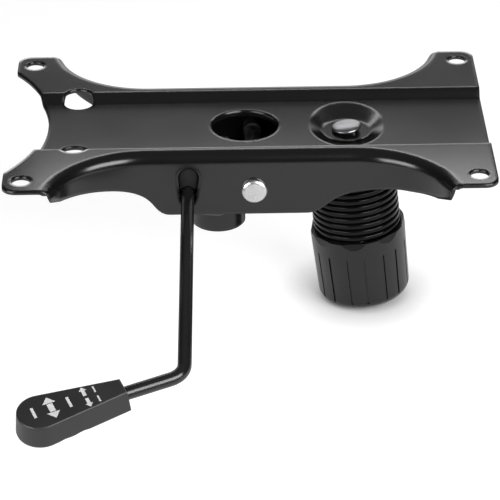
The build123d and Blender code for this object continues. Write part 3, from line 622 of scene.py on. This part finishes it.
class TILT_OT_lever(bpy.types.Operator):
    """Painted rod, moulded paddle and its printed arrows"""
    bl_idname = "tilt.lever"
    bl_label = "Finish The Lever"
    rod_paint = (0.008, 0.008, 0.0085)
    rod_ripple = 4 * MM
    # Outlines in millimetres on the grip face: along the paddle, across it
    arrow = ((-1.2, -4.2), (1.2, -4.2), (1.2, 0.8), (2.6, 0.8), (0.0, 4.2), (-2.6, 0.8), (-1.2, 0.8))
    bar = ((-0.6, -3.0), (0.6, -3.0), (0.6, 3.0), (-0.6, 3.0))
    stem = ((-1.6, -3.0), (1.6, -3.0), (1.6, 3.0), (-1.6, 3.0))
    head = ((-3.6, -1.6), (3.6, -1.6), (0.0, 3.0))
    # Each mark: outline, its place along and across, its share of full size, 1 or -1 to mirror it
    marks = (
        (arrow, 21.5, -4.3, 0.8, -1.0), (arrow, 21.5, 4.6, 0.8, 1.0),
        (bar, 15.5, -3.6, 0.75, 1.0), (bar, 15.5, 4.0, 0.75, 1.0),
        (stem, 41.0, 0.0, 1.0, 1.0), (head, 41.0, 5.2, 1.0, 1.0), (head, 41.0, -5.2, 1.0, -1.0),
        (bar, 31.0, 0.0, 1.3, 1.0), (bar, 51.0, 0.0, 1.3, 1.0),
    )
    # The ink starts under the grip face and stands a little out of it
    ink_levels = (-0.05, 0.12)

    def execute(self, context):
        s = context.scene.tilt_plastic
        dress(powder_coat("rod_black", self.rod_paint, 0.16, self.rod_ripple), "lever_rod")
        dress(moulded("paddle_plastic", s.paddle_color, 0.42, edge=0.2), "lever_paddle")
        points, faces = [], []
        for shape, along, across, grow, flip in self.marks:
            first, count = len(points), len(shape)
            for lift in self.ink_levels:
                for x, y in shape:
                    flat = PADDLE_DIR * (along + x * grow) + PADDLE_SIDE * (across + flip * y * grow)
                    points.append(PADDLE_FACE + (flat + PADDLE_UP * lift) * MM)
            faces += [tuple(first + k for k in f) for f in ring_faces(2, count)]
        marks = mesh_object("paddle_marks", points, faces, printed("mark_paint", s.mark_color), False)
        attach(marks, "lever")
        return {"FINISHED"}


class TILT_OT_bearings(bpy.types.Operator):
    """Plastic bushes, spacers and shoe, and the rubber rests"""
    bl_idname = "tilt.bearings"
    bl_label = "Finish The Bearings"

    def execute(self, context):
        nylon = moulded("nylon", (0.02, 0.02, 0.021), 0.5, grain=0.0009, depth=0.00002)
        dress(nylon, "bush_near", "bush_far", "spacer_near", "spacer_far")
        # The shoe is far darker than the nylon as painted shade, for its place in the shadow behind the
        # lever slot
        dress(moulded("shoe_plastic", (0.002, 0.002, 0.002), 0.6, edge=0.1), "lever_shoe")
        dress(rubber("rest_rubber", (0.012, 0.012, 0.012), 0.75), "front_rests", "rear_rests")
        return {"FINISHED"}


class TILT_OT_stage(bpy.types.Operator):
    """White table, two softboxes, a strip behind, a dark room and the camera"""
    bl_idname = "tilt.stage"
    bl_label = "Build The Stage"
    azimuth = math.radians(-0.70)
    elevation = math.radians(29.41)
    roll = math.radians(-0.54)
    target = Vector((0.00031, 0.0, -0.08985))
    sensor = 36.0
    # Name, place, aimed at, width, height, watts
    lamps = (
        ("softbox_left", (-0.825, -0.825, 0.25), (0.0, 0.0, -0.03), 0.85, 0.52, 12.5),
        ("softbox_right", (0.70, -0.80, 0.50), (0.0, 0.0, -0.03), 0.95, 0.62, 20.0),
        ("strip_back", (0.03, 0.35, 0.262), (0.03, -0.06, 0.0), 0.38, 0.050, 0.42),
    )
    table_near, table_far, table_side, table_cells = -0.36, 0.62, 0.60, 12
    # White glow of the table, its share in what the camera and what shiny pieces see, and how far and
    # how strongly the glow is dimmed near a piece, as a painted contact shadow
    glow = 1.5
    seen_share = 0.5
    mirrored_share = 0.22
    painted_shadow_reach = 0.03
    painted_shadow_power = 1.5

    def white_table(self):
        f = Finish("table_white")
        shade = f.mix(f.ramp(f.noise(0.05), 0.0, 1.0), (0.80, 0.80, 0.80), (0.82, 0.82, 0.82))
        grain = f.bump(f.noise(0.0012), 0.00005, 0.2)
        matt = f.add("ShaderNodeBsdfDiffuse", Color=shade, Normal=grain).outputs[0]
        # Near a piece the glow is dimmed by ambient occlusion: a painted contact shadow
        painted_shadow = f.add("ShaderNodeAmbientOcclusion", {"samples": 12}, Distance=self.painted_shadow_reach)
        strength = f.math("MULTIPLY", f.math("POWER", painted_shadow.outputs["AO"], self.painted_shadow_power), self.glow)
        glow = f.add("ShaderNodeEmission", Color=(1, 1, 1, 1), Strength=strength).outputs[0]
        path = f.add("ShaderNodeLightPath").outputs
        direct = f.math("ADD", path["Is Camera Ray"], path["Is Transmission Ray"], True)
        seen = f.math("MULTIPLY", direct, self.seen_share)
        share = f.math("MAXIMUM", seen, f.math("MULTIPLY", path["Is Glossy Ray"], self.mirrored_share))
        top = f.add("ShaderNodeMixShader", i0=share, i1=matt, i2=glow).outputs[0]
        clear = f.add("ShaderNodeBsdfTransparent").outputs[0]
        under = f.add("ShaderNodeNewGeometry").outputs["Backfacing"]
        both = f.add("ShaderNodeMixShader", i0=under, i1=top, i2=clear).outputs[0]
        f.tree.links.new(both, f.output.inputs["Surface"])
        return f.material

    def floor(self, height):
        cells, depth = self.table_cells, self.table_far - self.table_near
        points = [(self.table_side * (2 * i / cells - 1), self.table_near + depth * j / cells, height)
                  for j in range(cells + 1) for i in range(cells + 1)]
        faces = [(a, a + 1, a + cells + 2, a + cells + 1)
                 for j in range(cells) for a in range(j * (cells + 1), j * (cells + 1) + cells)]
        return mesh_object("table", points, faces, self.white_table(), False)

    def lamp(self, name, place, aim, width, height, watts):
        data = bpy.data.lights.new(name, "AREA")
        data.shape = "RECTANGLE"
        data.size, data.size_y, data.energy = width, height, watts
        item = put_in_scene(name, data)
        item.location = place
        item.rotation_euler = (Vector(aim) - Vector(place)).to_track_quat("-Z", "Y").to_euler()
        item.visible_camera = False

    def camera(self, s):
        a, e = self.azimuth, self.elevation
        back = Vector((math.sin(a) * math.cos(e), -math.cos(a) * math.cos(e), math.sin(e)))
        right = Vector((math.cos(a), math.sin(a), 0.0))
        up = back.cross(right)
        c, r = math.cos(self.roll), math.sin(self.roll)
        right, up = right * c + up * r, up * c - right * r
        turn = Matrix((right, up, back)).transposed().to_4x4()
        data = bpy.data.cameras.new("camera")
        data.sensor_width = self.sensor
        data.sensor_fit = "HORIZONTAL"
        data.lens = s.lens
        data.clip_start = 0.05
        item = put_in_scene("camera", data)
        item.matrix_world = Matrix.Translation(self.target + back * s.distance) @ turn
        bpy.context.scene.camera = item

    def world(self):
        """Dark room with a bright wall low behind the object. The camera sees white past the table."""
        world = bpy.data.worlds.new("studio")
        f = Nodes(world)
        x, y, z = f.add("ShaderNodeSeparateXYZ", i0=f.add("ShaderNodeTexCoord").outputs["Generated"]).outputs
        room = f.ramp(z, 0.04, 0.17, start=0.4, end=0.98)
        behind = f.ramp(y, 0.0, 1.0, start=0.0, end=0.2)
        middle = f.ramp(f.math("ABSOLUTE", x), 1.0, 0.0, start=0.2, end=0.5)
        low = f.ramp(z, 3.6, 0.0, start=0.10, end=0.46)
        wall = f.math("MULTIPLY", f.math("MULTIPLY", behind, middle), low)
        seen = f.add("ShaderNodeLightPath").outputs["Is Camera Ray"]
        light = f.math("MAXIMUM", f.math("ADD", room, wall), seen)
        sky = f.add("ShaderNodeBackground", Color=(1, 1, 1, 1), Strength=light).outputs[0]
        f.add("ShaderNodeOutputWorld", Surface=sky)
        bpy.context.scene.world = world

    def execute(self, context):
        s = context.scene.tilt_stage
        self.floor(s.floor_height)
        for lamp in self.lamps:
            self.lamp(*lamp)
        self.camera(s)
        self.world()
        context.scene.view_settings.view_transform = "Standard"
        return {"FINISHED"}


class TILT_PT_panel(bpy.types.Panel):
    """Steps that finish the tilt control, in order"""
    bl_idname = "TILT_PT_panel"
    bl_label = "Tilt Control"
    bl_space_type = "VIEW_3D"
    bl_region_type = "UI"
    bl_category = "Tilt Control"

    def draw(self, context):
        for step in STEPS:
            self.layout.operator(step.bl_idname)
        for name in SETTINGS:
            group = getattr(context.scene, name)
            for key in group.bl_rna.properties.keys():
                if key not in ("rna_type", "name"):
                    self.layout.prop(group, key)


STEPS = (TILT_OT_coat, TILT_OT_weld, TILT_OT_spring, TILT_OT_bolt, TILT_OT_hardware, TILT_OT_knob,
         TILT_OT_lever, TILT_OT_bearings, TILT_OT_stage)
SETTINGS = {
    "tilt_coat": CoatSettings, "tilt_spring": SpringSettings, "tilt_plastic": PlasticSettings,
    "tilt_stage": StageSettings,
}


def register():
    for group in (*SETTINGS.values(), *STEPS, TILT_PT_panel):
        bpy.utils.register_class(group)
    for name, group in SETTINGS.items():
        setattr(bpy.types.Scene, name, bpy.props.PointerProperty(type=group))


def unregister():
    for name in SETTINGS:
        delattr(bpy.types.Scene, name)
    for group in reversed((*SETTINGS.values(), *STEPS, TILT_PT_panel)):
        bpy.utils.unregister_class(group)


def main():
    register()
    for step in STEPS:
        group, action = step.bl_idname.split(".")
        getattr(getattr(bpy.ops, group), action)()


if __name__ == "__main__":
    main()
